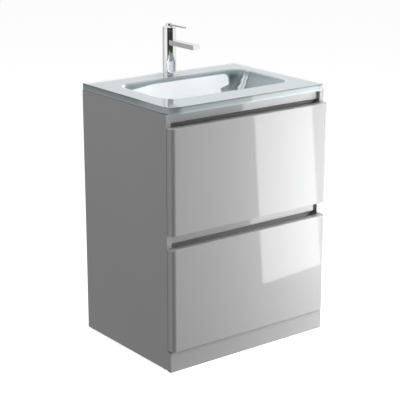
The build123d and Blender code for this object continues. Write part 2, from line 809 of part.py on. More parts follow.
dome_roof = chamber_top + dome_rise
with BuildPart() as tap_dome:
    with BuildSketch(Plane.XZ.offset(-tap_y)):
        with BuildLine():
            Polyline(
                (tap_radius, sphere_z(dome_radius, tap_radius)),
                (tap_radius, chamber_top),
                (chamber_radius - hole_play, chamber_top),
                (chamber_radius - hole_play, chamber_top - dome_skirt),
                (dome_bore, chamber_top - dome_skirt),
                (dome_bore, dome_roof),
                (dome_hole, dome_roof),
                (dome_hole, sphere_z(dome_radius, dome_hole)),
            )
            ThreePointArc(
                (dome_hole, sphere_z(dome_radius, dome_hole)),
                ((dome_hole + tap_radius) / 2, sphere_z(dome_radius, (dome_hole + tap_radius) / 2)),
                (tap_radius, sphere_z(dome_radius, tap_radius)),
            )
        make_face()
    revolve(axis=tap_axis)
finish(tap_dome, "tap_dome")

cap_inner = dome_radius + cap_gap
cap_outer = cap_inner + cap_shell
socket_top = hub_top - hub_roof
with BuildPart() as tap_cap:
    with BuildSketch(Plane.XZ.offset(-tap_y)):
        with BuildLine():
            ThreePointArc(
                (0, sphere_z(cap_inner, 0)),
                (tap_radius / 2, sphere_z(cap_inner, tap_radius / 2)),
                (tap_radius, sphere_z(cap_inner, tap_radius)),
            )
            Line((tap_radius, sphere_z(cap_inner, tap_radius)), (tap_radius, sphere_z(cap_outer, tap_radius)))
            ThreePointArc(
                (tap_radius, sphere_z(cap_outer, tap_radius)),
                ((tap_radius + hub_radius) / 2, sphere_z(cap_outer, (tap_radius + hub_radius) / 2)),
                (hub_radius, sphere_z(cap_outer, hub_radius)),
            )
            Polyline(
                (hub_radius, sphere_z(cap_outer, hub_radius)),
                (hub_radius, hub_top - hub_edge),
                (hub_radius - hub_edge, hub_top),
                (0, hub_top),
                (0, sphere_z(cap_inner, 0)),
            )
        make_face()
    revolve(axis=tap_axis)
    with Locations((0, tap_y, socket_top)):
        Cylinder(
            spindle_radius + hole_play,
            socket_top - sphere_z(cap_inner, 0) + hub_edge,
            align=(Align.CENTER, Align.CENTER, Align.MAX),
            mode=Mode.SUBTRACT,
        )
finish(tap_cap, "tap_cap")

with BuildPart() as tap_lever:
    with BuildSketch(Plane.XY.offset(lever_z - lever_height / 2)):
        with Locations((0, tap_y - lever_reach / 2)):
            lever_outline = Rectangle(lever_width, lever_reach)
        fillet(lever_outline.vertices().group_by(Axis.Y)[0], radius=lever_edge)
        with Locations((0, tap_y)):
            Circle(hub_radius, mode=Mode.SUBTRACT)
    extrude(amount=lever_height)
finish(tap_lever, "tap_lever")

spindle_bottom = pivot_z - spindle_below_pivot
with BuildPart() as tap_spindle:
    with BuildSketch(Plane.XY.offset(spindle_bottom)):
        with Locations((0, tap_y)):
            Circle(spindle_radius)
    extrude(amount=socket_top - spindle_bottom)
finish(tap_spindle, "tap_spindle")

with BuildPart() as spindle_carrier:
    with BuildSketch(Plane.XY.offset(recess_floor + cap_gap)):
        with Locations((0, tap_y)):
            Circle(carrier_radius)
            Rectangle(2 * spindle_radius + hole_play, carrier_slot, mode=Mode.SUBTRACT)
    extrude(amount=carrier_height)
finish(spindle_carrier, "spindle_carrier")

with BuildPart() as tap_stud:
    with BuildSketch(Plane.XY.offset(stud_bottom)):
        with Locations((0, stud_y)):
            Circle(stud_radius)
    extrude(amount=shank_end + stud_in_block - stud_end_play - stud_bottom)
finish(tap_stud, "tap_stud")

with BuildPart() as tap_clamp_washer:
    with BuildSketch(Plane.XY.offset(rim_underside - clamp_thickness)):
        with Locations((0, tap_y)):
            Circle(clamp_radius)
        with Locations((0, clamp_slot_end_y - clamp_radius)):
            Rectangle(clamp_slot, 2 * clamp_radius, mode=Mode.SUBTRACT)
        with Locations((0, stud_y)):
            Circle(stud_radius + hole_play, mode=Mode.SUBTRACT)
    extrude(amount=clamp_thickness)
finish(tap_clamp_washer, "tap_clamp_washer")

with BuildPart() as tap_clamp_nut:
    with BuildSketch(Plane.XY.offset(rim_underside - clamp_thickness - clamp_nut_height)):
        with Locations((0, stud_y)):
            RegularPolygon(clamp_nut_radius, 6)
            Circle(stud_radius + hole_play, mode=Mode.SUBTRACT)
    extrude(amount=clamp_nut_height)
finish(tap_clamp_nut, "tap_clamp_nut")
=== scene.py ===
import json
from math import atan2, cos, degrees, pi, radians, sin, sqrt, tan

import bmesh
import bpy
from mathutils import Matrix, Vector


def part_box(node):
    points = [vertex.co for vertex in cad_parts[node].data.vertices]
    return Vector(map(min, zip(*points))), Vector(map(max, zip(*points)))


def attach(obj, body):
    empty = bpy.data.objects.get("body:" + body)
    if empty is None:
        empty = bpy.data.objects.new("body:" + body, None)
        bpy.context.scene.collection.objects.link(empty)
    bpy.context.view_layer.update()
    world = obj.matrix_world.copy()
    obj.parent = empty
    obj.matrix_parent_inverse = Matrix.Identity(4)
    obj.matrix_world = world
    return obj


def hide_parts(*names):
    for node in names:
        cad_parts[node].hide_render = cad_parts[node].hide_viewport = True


# Looks of a floor-standing vanity unit: gloss lacquer fronts with finger-pull
# rails, a moulded glass basin and a chrome mixer. Metres, +Z up, -Y is the front.

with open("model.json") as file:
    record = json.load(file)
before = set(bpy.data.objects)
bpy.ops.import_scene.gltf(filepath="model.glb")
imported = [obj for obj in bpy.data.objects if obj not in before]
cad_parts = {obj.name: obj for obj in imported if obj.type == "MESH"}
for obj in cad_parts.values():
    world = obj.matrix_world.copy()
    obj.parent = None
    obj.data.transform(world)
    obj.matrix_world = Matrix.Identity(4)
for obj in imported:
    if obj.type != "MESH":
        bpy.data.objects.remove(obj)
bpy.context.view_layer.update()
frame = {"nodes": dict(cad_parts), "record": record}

MM = 0.001

# ---------------------------------------------------------------- places from the frame
glass_low, glass_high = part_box("glass_basin")
ring_low, ring_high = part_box("tap_base_ring")
body_low, body_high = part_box("tap_body")
spout_low, spout_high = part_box("tap_spout")
lever_low, lever_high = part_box("tap_lever")
waste_low, waste_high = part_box("waste_body")
plug_low, plug_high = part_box("waste_plug")

cap_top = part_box("tap_cap")[1].z
front_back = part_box("upper_drawer_front")[1].y
rim_top = ring_low.z
tap_y = (ring_low.y + ring_high.y) / 2
bowl_y = (waste_low.y + waste_high.y) / 2

# ---------------------------------------------------------------- sizes that shape and finish share
RIM_THICKNESS = 20 * MM
BOWL_HALF_X = 234 * MM
BOWL_HALF_Y = 134 * MM

# ---------------------------------------------------------------- mesh helpers
CORNER_STEPS = 14
LATHE_STEPS = 96
SHARP_ANGLE = radians(32)


def mesh_piece(name, vertices, faces, materials, face_slots=None):
    """A new mesh object with smooth shading, sharp where faces meet at more than the sharp angle."""
    mesh = bpy.data.meshes.new(name)
    mesh.from_pydata([tuple(v) for v in vertices], [], faces)
    for material in materials:
        mesh.materials.append(material)
    if face_slots:
        mesh.polygons.foreach_set("material_index", face_slots)
    tidy = bmesh.new()
    tidy.from_mesh(mesh)
    bmesh.ops.remove_doubles(tidy, verts=tidy.verts, dist=1e-6)
    bmesh.ops.recalc_face_normals(tidy, faces=tidy.faces)
    tidy.to_mesh(mesh)
    tidy.free()
    mesh.shade_smooth()
    mesh.set_sharp_from_angle(angle=SHARP_ANGLE)
    piece = bpy.data.objects.new(name, mesh)
    bpy.context.scene.collection.objects.link(piece)
    return piece


def soften(piece, width, segments=3):
    """Round the edges that meet at more than the sharp angle."""
    bevel = piece.modifiers.new("soft_edges", "BEVEL")
    bevel.width = width
    bevel.segments = segments
    bevel.limit_method = "ANGLE"
    bevel.angle_limit = SHARP_ANGLE
    bevel.harden_normals = True


def weigh_normals(piece):
    """Keep large flat faces flat in shading where they run into a rounded edge."""
    weigh = piece.modifiers.new("flat_faces", "WEIGHTED_NORMAL")
    weigh.keep_sharp = True
    weigh.weight = 100
    return piece


def take_place(piece, body, slot, *nodes):
    """The piece rides on a body and stands for CAD nodes. The slot is not used."""
    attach(piece, body)
    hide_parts(*nodes)


def loft(rings, closed=False):
    """Faces between equal rings, capped at both ends unless the rings close on themselves."""
    count = len(rings[0])
    vertices = [point for ring in rings for point in ring]
    faces = []
    pairs = len(rings) if closed else len(rings) - 1
    for i in range(pairs):
        low = i * count
        high = ((i + 1) % len(rings)) * count
        for k in range(count):
            after = (k + 1) % count
            faces.append((low + k, low + after, high + after, high + k))
    if not closed:
        faces.append(tuple(range(count)))
        faces.append(tuple(range((len(rings) - 1) * count, len(rings) * count)))
    return vertices, faces


def rounded_ring(half_x, half_y, radii, z, centre=(0, 0)):
    """A rounded rectangle, its corners in the order front right, rear right, rear left, front left."""
    points = []
    corners = ((1, -1), (1, 1), (-1, 1), (-1, -1))
    for quarter, (side_x, side_y) in enumerate(corners):
        radius = radii[quarter]
        middle_x = centre[0] + side_x * (half_x - radius)
        middle_y = centre[1] + side_y * (half_y - radius)
        for step in range(CORNER_STEPS + 1):
            angle = radians(90 * (quarter - 1 + step / CORNER_STEPS))
            points.append((middle_x + radius * cos(angle), middle_y + radius * sin(angle), z))
    return points


def around(centre, radius, z, step):
    """The point at one of the equal steps round a vertical axis."""
    angle = 2 * pi * step / LATHE_STEPS
    return centre[0] + radius * cos(angle), centre[1] + radius * sin(angle), z


def lathe(profile, centre):
    """Turn (radius, z) points about a vertical axis through centre; the profile closes on itself."""
    rings = [[around(centre, r, z, step) for r, z in profile] for step in range(LATHE_STEPS)]
    return loft(rings, closed=True)


def prism_x(profile, x0, x1):
    """Extrude (y, z) points along X."""
    return loft([[(x, y, z) for y, z in profile] for x in (x0, x1)])


def arc(centre, radius, start, end, steps):
    """Points on a circle from one angle to another, in degrees."""
    return [
        (
            centre[0] + radius * cos(radians(start + (end - start) * i / steps)),
            centre[1] + radius * sin(radians(start + (end - start) * i / steps)),
        )
        for i in range(steps + 1)
    ]


def bearing(across, along):
    """Angle of a direction above the first axis, in degrees."""
    return degrees(atan2(along, across))


def drill(piece, centre, radius, z0, z1):
    """Cut a round vertical hole through a piece."""
    rings = [[around(centre, radius, z, step) for step in range(LATHE_STEPS)] for z in (z0, z1)]
    vertices, faces = loft(rings)
    cutter = mesh_piece(piece.name + "_cutter", vertices, faces, [])
    cut = piece.modifiers.new("drilled", "BOOLEAN")
    cut.operation = "DIFFERENCE"
    cut.solver = "EXACT"
    cut.object = cutter
    bpy.context.view_layer.update()
    evaluated = piece.evaluated_get(bpy.context.evaluated_depsgraph_get())
    drilled = bpy.data.meshes.new_from_object(evaluated)
    piece.modifiers.remove(cut)
    piece.data = drilled
    bpy.data.objects.remove(cutter)
    drilled.set_sharp_from_angle(angle=SHARP_ANGLE)


# ---------------------------------------------------------------- material helpers
class Nodes:
    """Short ways to add nodes to a tree."""

    def __init__(self, tree):
        self.tree = tree

    def node(self, kind, **settings):
        made = self.tree.nodes.new("ShaderNode" + kind)
        for key, value in settings.items():
            setattr(made, key, value)
        return made

    def link(self, source, target):
        self.tree.links.new(source, target)

    def ramp(self, value, stops):
        """Colours at positions from 0 to 1."""
        made = self.node("ValToRGB")
        elements = made.color_ramp.elements
        while len(elements) < len(stops):
            elements.new(0.5)
        for element, (position, colour) in zip(elements, stops):
            element.position = position
            element.color = (*colour, 1)
        self.link(value, made.inputs["Fac"])
        return made.outputs["Color"]

    def span(self, value, low, high, from_low=0.0, from_high=1.0, interpolation="LINEAR"):
        """Low where the value is from_low, high where it is from_high, held beyond both."""
        made = self.node("MapRange", interpolation_type=interpolation)
        made.inputs["From Min"].default_value = from_low
        made.inputs["From Max"].default_value = from_high
        made.inputs["To Min"].default_value = low
        made.inputs["To Max"].default_value = high
        self.link(value, made.inputs["Value"])
        return made.outputs["Result"]

    def math(self, operation, first, second=0.0):
        made = self.node("Math", operation=operation)
        for socket, value in zip(made.inputs, (first, second)):
            if isinstance(value, (int, float)):
                socket.default_value = value
            else:
                self.link(value, socket)
        return made.outputs["Value"]

    def mix(self, factor, first, second):
        """The first colour where the factor is 0, the second where it is 1."""
        made = self.node("Mix", data_type="RGBA")
        self.link(factor, made.inputs["Factor"])
        for index, value in ((6, first), (7, second)):
            if isinstance(value, tuple):
                made.inputs[index].default_value = (*value, 1)
            else:
                self.link(value, made.inputs[index])
        return made.outputs[2]


class Finish(Nodes):
    """A Principled material and the nodes that feed it."""

    def __init__(self, name, **sockets):
        self.material = bpy.data.materials.new(name)
        self.material.use_nodes = True
        super().__init__(self.material.node_tree)
        self.shader = self.tree.nodes["Principled BSDF"]
        for socket, value in sockets.items():
            self.shader.inputs[socket.replace("_", " ")].default_value = value

    def place(self, stretch=(1, 1, 1)):
        """Object coordinates, in metres, stretched so that a pattern can run along one axis."""
        coordinates = self.node("TexCoord")
        mapping = self.node("Mapping")
        mapping.inputs["Scale"].default_value = stretch
        self.link(coordinates.outputs["Object"], mapping.inputs["Vector"])
        return mapping.outputs["Vector"]

    def axes(self):
        """The x, y and z of the place, in metres."""
        split = self.node("SeparateXYZ")
        self.link(self.place(), split.inputs["Vector"])
        return split.outputs["X"], split.outputs["Y"], split.outputs["Z"]

    def noise(self, scale, detail=2.0, stretch=(1, 1, 1)):
        texture = self.node("TexNoise")
        texture.inputs["Scale"].default_value = scale
        texture.inputs["Detail"].default_value = detail
        self.link(self.place(stretch), texture.inputs["Vector"])
        return texture.outputs["Fac"]

    def cells(self, scale):
        texture = self.node("TexVoronoi")
        texture.inputs["Scale"].default_value = scale
        self.link(self.place(), texture.inputs["Vector"])
        return texture.outputs["Color"]

    def colour(self, output):
        self.link(output, self.shader.inputs["Base Color"])

    def roughness(self, output):
        self.link(output, self.shader.inputs["Roughness"])

    def bump(self, height, strength, distance):
        made = self.node("Bump")
        made.inputs["Strength"].default_value = strength
        made.inputs["Distance"].default_value = distance
        self.link(height, made.inputs["Height"])
        self.link(made.outputs["Normal"], self.shader.inputs["Normal"])


def shade(colour, factor):
    """A colour made lighter or darker."""
    return tuple(min(1.0, channel * factor) for channel in colour)


# ---------------------------------------------------------------- materials
LACQUER = (0.40, 0.40, 0.405)
BOARD = (0.62, 0.62, 0.62)
GLASS_TOP = (0.27, 0.315, 0.325)
# Painted highlight: the paler band along the rim's right and rear edges.
GLASS_HIGHLIGHT_BAND = (0.60, 0.645, 0.655)
GLASS_EDGE = (0.34, 0.39, 0.40)
# Painted shade in the bowl's lip and on its walls outside the white reflection.
LIP_PAINTED_SHADE = (0.24, 0.285, 0.30)
BOWL_WHITE = (0.89, 0.91, 0.92)
BACK_PAINT = ((0.3, (0.62, 0.66, 0.67)), (0.7, (0.68, 0.72, 0.73)))
CHROME = (0.86, 0.86, 0.87)
STEEL = (0.60, 0.61, 0.63)
BRASS = (0.72, 0.53, 0.25)
ACETAL = (0.80, 0.80, 0.77)
RUBBER = (0.035, 0.035, 0.037)

# The rim: a painted highlight in a paler band along its right and rear edges, and an edge whose painted
# light and shade changes with height, from its pale foot at 0 to its dark arris at 1, with a painted
# highlight at the left end of the front corner.
HIGHLIGHT_BAND_WIDTH = 34 * MM
EDGE_LIGHT_AND_SHADE = ((0.0, 1.8), (0.12, 1.35), (0.4, 1.05), (0.72, 1.0), (0.86, 0.75), (0.93, 0.42), (1.0, 0.42))
CORNER_HIGHLIGHT_STRENGTH = 0.55
CORNER_HIGHLIGHT_X = (glass_low.x + 8 * MM, glass_low.x + 30 * MM)
CORNER_HIGHLIGHT_Y = (-140 * MM, -40 * MM)

# The painted reflection streak on the bowl's right wall leans back with depth. Its colours, painted
# reflection and the painted shade of the far corner, run from front to back.
STREAK_Y = 95 * MM
STREAK_DEPTH = 30 * MM
STREAK_REACH = 50 * MM
STREAK_LEAN = -0.24
STREAK_RIPPLE = 7 * MM
STREAK_REFLECTION_AND_SHADE = (
    (0.0, (0.32, 0.36, 0.37)),
    (0.30, (0.30, 0.335, 0.345)),
    (0.35, (0.12, 0.145, 0.15)),
    (0.39, (0.82, 0.88, 0.89)),
    (0.48, (0.50, 0.55, 0.56)),
    (0.55, (0.82, 0.88, 0.89)),
    (0.61, (0.10, 0.125, 0.13)),
    (0.70, (0.17, 0.20, 0.21)),
    (0.85, (0.06, 0.08, 0.084)),
    (1.0, (0.10, 0.125, 0.13)),
)

# The white area of the bowl's walls, a painted reflection, with painted shade outside it. A pair gives
# where one tone ends and the next is full.
WHITE_RIGHT = 173 * MM
WHITE_TOP = 28 * MM
WHITE_ROUND_X = 20 * MM
WHITE_ROUND_Z = 16 * MM
WHITE_OUTLINE = (0.88, 1.12)
WHITE_SAG = 9 * MM
SAG_X = (-200 * MM, -90 * MM)
SCALLOP = 34 * MM
SCALLOP_DEPTHS = (46 * MM, 58 * MM)
# Painted shade under the lip, painted shade on the floor and a painted highlight at the left end.
LIP_SHADE_DEPTHS = (9 * MM, 24 * MM)
FLOOR_SHADE_DEPTHS = (60 * MM, 88 * MM)
LEFT_HIGHLIGHT_X = (-222 * MM, -205 * MM)
RIGHT_WALL_X = (186 * MM, 200 * MM)


def gloss_lacquer():
    """Sprayed and polished lacquer: even tone, a trace of orange peel, a hard clear top."""
    finish = Finish("gloss_lacquer", Coat_Weight=0.35, Coat_Roughness=0.02, IOR=1.5)
    tone = finish.noise(3.0, detail=3.0)
    finish.colour(finish.ramp(tone, ((0.3, shade(LACQUER, 0.985)), (0.7, shade(LACQUER, 1.015)))))
    finish.roughness(finish.span(finish.noise(40.0, detail=4.0), 0.03, 0.075))
    finish.bump(finish.noise(220.0, detail=1.0), 0.05, 0.00008)
    return finish.material


def melamine_board():
    """Melamine-faced board: fine pearl texture and faint cloudiness."""
    finish = Finish("white_board", IOR=1.5)
    cloud = finish.noise(12.0, detail=5.0)
    finish.colour(finish.ramp(cloud, ((0.3, shade(BOARD, 0.96)), (0.7, shade(BOARD, 1.03)))))
    pearl = finish.noise(900.0, detail=3.0)
    finish.roughness(finish.span(pearl, 0.38, 0.55))
    finish.bump(pearl, 0.25, 0.0002)
    return finish.material


def glass_top():
    """Polished glass over a pale painted back, with a painted highlight along its right and rear edges
    that makes them paler.
    """
    finish = Finish("basin_glass_rim", Coat_Weight=0.6, Coat_Roughness=0.01, IOR=1.5)
    x, y, _ = finish.axes()
    from_side = finish.math("SUBTRACT", glass_high.x, x)
    from_rear = finish.math("SUBTRACT", glass_high.y, y)
    inset = finish.math("MINIMUM", from_side, from_rear)
    # Painted highlight: a paler band along the right and rear edges.
    highlight_band = finish.span(inset, 1.0, 0.0, HIGHLIGHT_BAND_WIDTH / 3, HIGHLIGHT_BAND_WIDTH, "SMOOTHSTEP")
    cloud = finish.noise(5.0, detail=2.0)
    field = finish.ramp(cloud, ((0.25, shade(GLASS_TOP, 0.97)), (0.75, shade(GLASS_TOP, 1.03))))
    finish.colour(finish.mix(highlight_band, field, GLASS_HIGHLIGHT_BAND))
    finish.roughness(finish.span(finish.noise(25.0, detail=3.0), 0.02, 0.05))
    return finish.material


def glass_edge():
    """The polished edge of the rim, painted light and shade: pale at its foot and dark at its arris, with
    a painted highlight near the left end of the front corner.
    """
    finish = Finish("basin_glass_edge", Coat_Weight=0.25, Coat_Roughness=0.01, IOR=1.5)
    x, y, z = finish.axes()
    height = finish.span(z, 0.0, 1.0, rim_top - RIM_THICKNESS, rim_top)
    # Painted light and shade by height: a pale foot and a dark arris.
    painted_bands = finish.ramp(height, [(place, shade(GLASS_EDGE, tone)) for place, tone in EDGE_LIGHT_AND_SHADE])
    # Painted highlight near the left end of the front corner.
    on_left = finish.span(x, CORNER_HIGHLIGHT_STRENGTH, 0.0, *CORNER_HIGHLIGHT_X)
    near_corner = finish.span(y, 1.0, 0.0, *CORNER_HIGHLIGHT_Y, "SMOOTHSTEP")
    corner_highlight = finish.math("MULTIPLY", on_left, near_corner)
    finish.colour(finish.mix(corner_highlight, painted_bands, shade(GLASS_EDGE, 1.8)))
    finish.roughness(finish.span(finish.noise(25.0, detail=3.0), 0.02, 0.05))
    return finish.material


def right_wall_light_and_shade(finish, y, depth):
    """Painted light and shade: a dark painted shade in the far corner, a rippled painted reflection
    streak beside it, then a paler wall, with painted shade under the lip and painted light towards the
    front.
    """
    noise = finish.noise(45.0, detail=1.0, stretch=(0, 0, 1))
    ripple = finish.span(noise, -STREAK_RIPPLE, STREAK_RIPPLE)
    slant = finish.math("MULTIPLY", finish.math("SUBTRACT", depth, STREAK_DEPTH), STREAK_LEAN)
    beside = finish.math("ADD", finish.math("SUBTRACT", y, STREAK_Y), finish.math("ADD", slant, ripple))
    # Painted reflection streak, with painted shade in the far corner.
    wall = finish.ramp(finish.span(beside, 0.0, 1.0, -STREAK_REACH, STREAK_REACH), STREAK_REFLECTION_AND_SHADE)
    # Painted shade under the lip.
    lip_shade = finish.span(depth, 0.85, 0.0, *LIP_SHADE_DEPTHS, "SMOOTHSTEP")
    wall = finish.mix(lip_shade, wall, shade(GLASS_TOP, 1.05))
    # Painted light towards the front of the wall.
    front_light = finish.span(y, 0.8, 0.0, -BOWL_HALF_Y, BOWL_HALF_Y / 2)
    return finish.mix(front_light, wall, shade(GLASS_TOP, 1.75))


def outside_white_reflection(finish, x, depth):
    """0 in the white area, a painted reflection, and 1 past its round upper right corner or scalloped
    lower one.
    """
    scallop = finish.span(depth, 0.0, SCALLOP, *SCALLOP_DEPTHS, "SMOOTHSTEP")
    past_right = finish.math("ADD", finish.math("SUBTRACT", x, WHITE_RIGHT), scallop)
    beyond = finish.math("MAXIMUM", finish.math("DIVIDE", past_right, WHITE_ROUND_X), 0.0)
    sunk = finish.span(x, WHITE_SAG, 0.0, *SAG_X, "SMOOTHSTEP")
    past_top = finish.math("SUBTRACT", finish.math("ADD", sunk, WHITE_TOP), depth)
    above = finish.math("MAXIMUM", finish.math("DIVIDE", past_top, WHITE_ROUND_Z), 0.0)
    squares = [finish.math("POWER", share, 2.0) for share in (beyond, above)]
    distance = finish.math("SQRT", finish.math("ADD", *squares))
    return finish.span(distance, 0.0, 1.0, *WHITE_OUTLINE, "SMOOTHSTEP")


def glass_bowl():
    """White bowl under clear glass, with painted light and shade: aqua painted shade in the lip and in
    the corner away from the light, painted reflections in white and in a streak, a painted highlight at
    the left end and painted shade on the floor.
    """
    finish = Finish("basin_glass_bowl", Coat_Weight=0.5, Coat_Roughness=0.01, IOR=1.5)
    x, y, z = finish.axes()
    depth = finish.math("SUBTRACT", rim_top, z)
    on_right = finish.span(x, 0.0, 1.0, *RIGHT_WALL_X)
    # Painted shade, with the painted streak on the right wall.
    painted_shade_and_streak = finish.mix(on_right, LIP_PAINTED_SHADE, right_wall_light_and_shade(finish, y, depth))
    painted = finish.mix(outside_white_reflection(finish, x, depth), BOWL_WHITE, painted_shade_and_streak)
    # Painted highlight at the left end of the bowl.
    left_highlight = finish.span(x, 1.0, 0.0, *LEFT_HIGHLIGHT_X)
    painted = finish.mix(left_highlight, painted, BOWL_WHITE)
    # Painted shade: the bowl's floor darker, where the painted reflection and shade fade out.
    low = finish.span(depth, 0.0, 1.0, *FLOOR_SHADE_DEPTHS, "SMOOTHSTEP")
    finish.colour(finish.mix(low, painted, shade(BOWL_WHITE, 0.78)))
    finish.roughness(finish.span(finish.noise(25.0, detail=3.0), 0.02, 0.05))
    return finish.material


def glass_back():
    """The painted back of the basin."""
    finish = Finish("basin_glass_back", IOR=1.5)
    cloud = finish.noise(30.0, detail=4.0)
    finish.colour(finish.ramp(cloud, BACK_PAINT))
    finish.roughness(finish.span(cloud, 0.35, 0.5))
    finish.bump(finish.noise(350.0, detail=2.0), 0.2, 0.0003)
    return finish.material


def chrome():
    """Bright chrome plate with the faintest polishing haze."""
    finish = Finish("chrome", Metallic=1.0)
    haze = finish.noise(60.0, detail=4.0)
    finish.colour(finish.ramp(haze, ((0.3, shade(CHROME, 0.985)), (0.7, shade(CHROME, 1.01)))))
    finish.roughness(finish.span(haze, 0.02, 0.05))
    return finish.material


def rolled_steel():
    """Zinc-plated strip steel with rolling lines along the runner."""
    finish = Finish("runner_steel", Metallic=1.0)
    lines = finish.noise(900.0, detail=3.0, stretch=(1, 0.02, 1))
    finish.colour(finish.ramp(lines, ((0.3, shade(STEEL, 0.88)), (0.7, shade(STEEL, 1.08)))))
    finish.roughness(finish.span(finish.noise(80.0, detail=4.0), 0.22, 0.42))
    finish.bump(lines, 0.15, 0.0001)
    return finish.material


def zinc_steel():
    """Passivated zinc on small fittings: a soft crystal pattern."""
    finish = Finish("zinc_steel", Metallic=1.0)
    finish.colour(finish.mix(finish.noise(250.0, detail=3.0), shade(STEEL, 0.85), shade(STEEL, 1.15)))
    finish.roughness(finish.span(finish.cells(700.0), 0.25, 0.45))
    return finish.material


def machined_brass():
    """Turned brass with fine rings of tool marks and slight tarnish."""
    finish = Finish("brass", Metallic=1.0)
    tarnish = finish.noise(90.0, detail=5.0)
    finish.colour(finish.ramp(tarnish, ((0.3, shade(BRASS, 0.75)), (0.7, shade(BRASS, 1.1)))))
    marks = finish.noise(1500.0, detail=2.0, stretch=(0.05, 0.05, 1))
    finish.roughness(finish.span(tarnish, 0.2, 0.4))
    finish.bump(marks, 0.2, 0.0001)
    return finish.material


def moulded_rubber():
    """Black rubber with a pale bloom and a fine grain."""
    finish = Finish("rubber", IOR=1.5)
    bloom = finish.noise(120.0, detail=4.0)
    finish.colour(finish.ramp(bloom, ((0.3, RUBBER), (0.7, shade(RUBBER, 1.6)))))
    finish.roughness(finish.span(bloom, 0.6, 0.85))
    finish.bump(finish.noise(700.0), 0.3, 0.0002)
    return finish.material


def moulded_plastic():
    """White acetal with faint flow marks."""
    finish = Finish("plastic", IOR=1.48)
    flow = finish.noise(60.0, detail=3.0)
    finish.colour(finish.ramp(flow, ((0.3, shade(ACETAL, 0.95)), (0.7, shade(ACETAL, 1.04)))))
    finish.roughness(finish.span(flow, 0.35, 0.5))
    finish.bump(finish.noise(800.0), 0.1, 0.0001)
    return finish.material


LACQUERED = gloss_lacquer()
CHROMED = chrome()
GLASS_SKINS = [glass_top(), glass_bowl(), glass_edge(), glass_back()]
FINISHES = {
    "gloss_lacquer": LACQUERED,
    "white_board": melamine_board(),
    "basin_glass": GLASS_SKINS[0],
    "chrome": CHROMED,
    "runner_steel": rolled_steel(),
    "zinc_steel": zinc_steel(),
    "brass": machined_brass(),
    "rubber": moulded_rubber(),
    "plastic": moulded_plastic(),
}

# ---------------------------------------------------------------- CAD nodes that stay
NODE_BEVEL = {"gloss_lacquer": 0.8 * MM, "white_board": 0.5 * MM, "runner_steel": 0.25 * MM}
node_slots = {part["node"]: part["material_slot"] for part in frame["record"]["subparts"]}
for name, piece in frame["nodes"].items():
    slot = node_slots[name]
    piece.data.materials.clear()
    piece.data.materials.append(FINISHES[slot])
    if slot in NODE_BEVEL:
        soften(piece, NODE_BEVEL[slot], 2)

# ---------------------------------------------------------------- drawer fronts
FRONT_EDGE_RADIUS = 15 * MM
BACK_EDGE_RADIUS = 1 * MM
FRONT_ARRIS = 0.9 * MM


def drawer_front(level):
    """A lacquered front: round vertical edges, crisp arrises along the top and bottom."""
    node = f"{level}_drawer_front"
    low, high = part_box(node)
    middle = (0, (low.y + high.y) / 2)
    half_x = (high.x - low.x) / 2
    half_y = (high.y - low.y) / 2
    radii = (FRONT_EDGE_RADIUS, BACK_EDGE_RADIUS, BACK_EDGE_RADIUS, FRONT_EDGE_RADIUS)
    rings = [rounded_ring(half_x, half_y, radii, z, middle) for z in (low.z, high.z)]
    piece = mesh_piece(f"{level}_front_lacquered", *loft(rings), [LACQUERED])
    soften(piece, FRONT_ARRIS)
    take_place(piece, f"{level}_drawer", "gloss_lacquer", node)


for level in ("lower", "upper"):
    drawer_front(level)

# ---------------------------------------------------------------- finger-pull rails
SCOOP_STEPS = 28
RAIL_ARRIS = 0.5 * MM
SCOOP_RISE = 22 * MM
FLAT_ABOVE_FRONT = 10 * MM
RAIL_FACE_SETBACK = 10 * MM


def finger_rail(node, front_node):
    """Flat face over a hollow that fingers reach into behind the drawer front."""
    low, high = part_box(node)
    flat_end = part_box(front_node)[1].z + FLAT_ABOVE_FRONT
    scoop_z = flat_end - SCOOP_RISE
    face = front_back + RAIL_FACE_SETBACK
    radius = sqrt(RAIL_FACE_SETBACK**2 + SCOOP_RISE**2)
    lip_z = scoop_z - sqrt(radius**2 - (low.y - front_back) ** 2)
    upper_angle = bearing(RAIL_FACE_SETBACK, SCOOP_RISE)
    lower_angle = bearing(low.y - front_back, lip_z - scoop_z)
    scoop = arc((front_back, scoop_z), radius, lower_angle, upper_angle, SCOOP_STEPS)
    profile = [(face, high.z), (high.y, high.z), (high.y, low.z), (low.y, low.z)] + scoop
    piece = mesh_piece(f"{node}_lacquered", *prism_x(profile, low.x, high.x), [LACQUERED])
    soften(piece, RAIL_ARRIS, 2)
    take_place(piece, "cabinet", "gloss_lacquer", node)


finger_rail("top_rail", "upper_drawer_front")
finger_rail("mid_rail", "lower_drawer_front")

# ---------------------------------------------------------------- basin
RIM_FRONT_RADIUS = 45 * MM
RIM_REAR_RADIUS = 6 * MM
RIM_ARRIS = 1.6 * MM
BOWL_CORNER = 50 * MM
BOWL_TAPER = radians(8)
BOWL_DEPTH = 105 * MM
BOWL_LIP = 7 * MM
BOWL_FILLET = 26 * MM
BOWL_WALL = 12 * MM
UNDER_FILLET = 34 * MM
WASTE_HOLE = 22.5 * MM
TAP_HOLE = 17.5 * MM
LIP_STEPS = 8
FILLET_STEPS = 10
ARRIS_STEPS = 3
HOLE_ROUNDNESS = 0.97


def bowl_ring(outward, z, corner=BOWL_CORNER):
    """The bowl's outline at height z, moved outward from its nominal opening."""
    return rounded_ring(
        BOWL_HALF_X + outward, BOWL_HALF_Y + outward, (corner + outward,) * 4, z, (0, bowl_y)
    )


def rim_ring(inset, z):
    """The rim's outline at height z, moved inward from its outer edge."""
    half_x = (glass_high.x - glass_low.x) / 2
    half_y = (glass_high.y - glass_low.y) / 2
    radii = (RIM_FRONT_RADIUS, RIM_REAR_RADIUS, RIM_REAR_RADIUS, RIM_FRONT_RADIUS)
    middle = (0, (glass_high.y + glass_low.y) / 2)
    return rounded_ring(half_x - inset, half_y - inset, [r - inset for r in radii], z, middle)


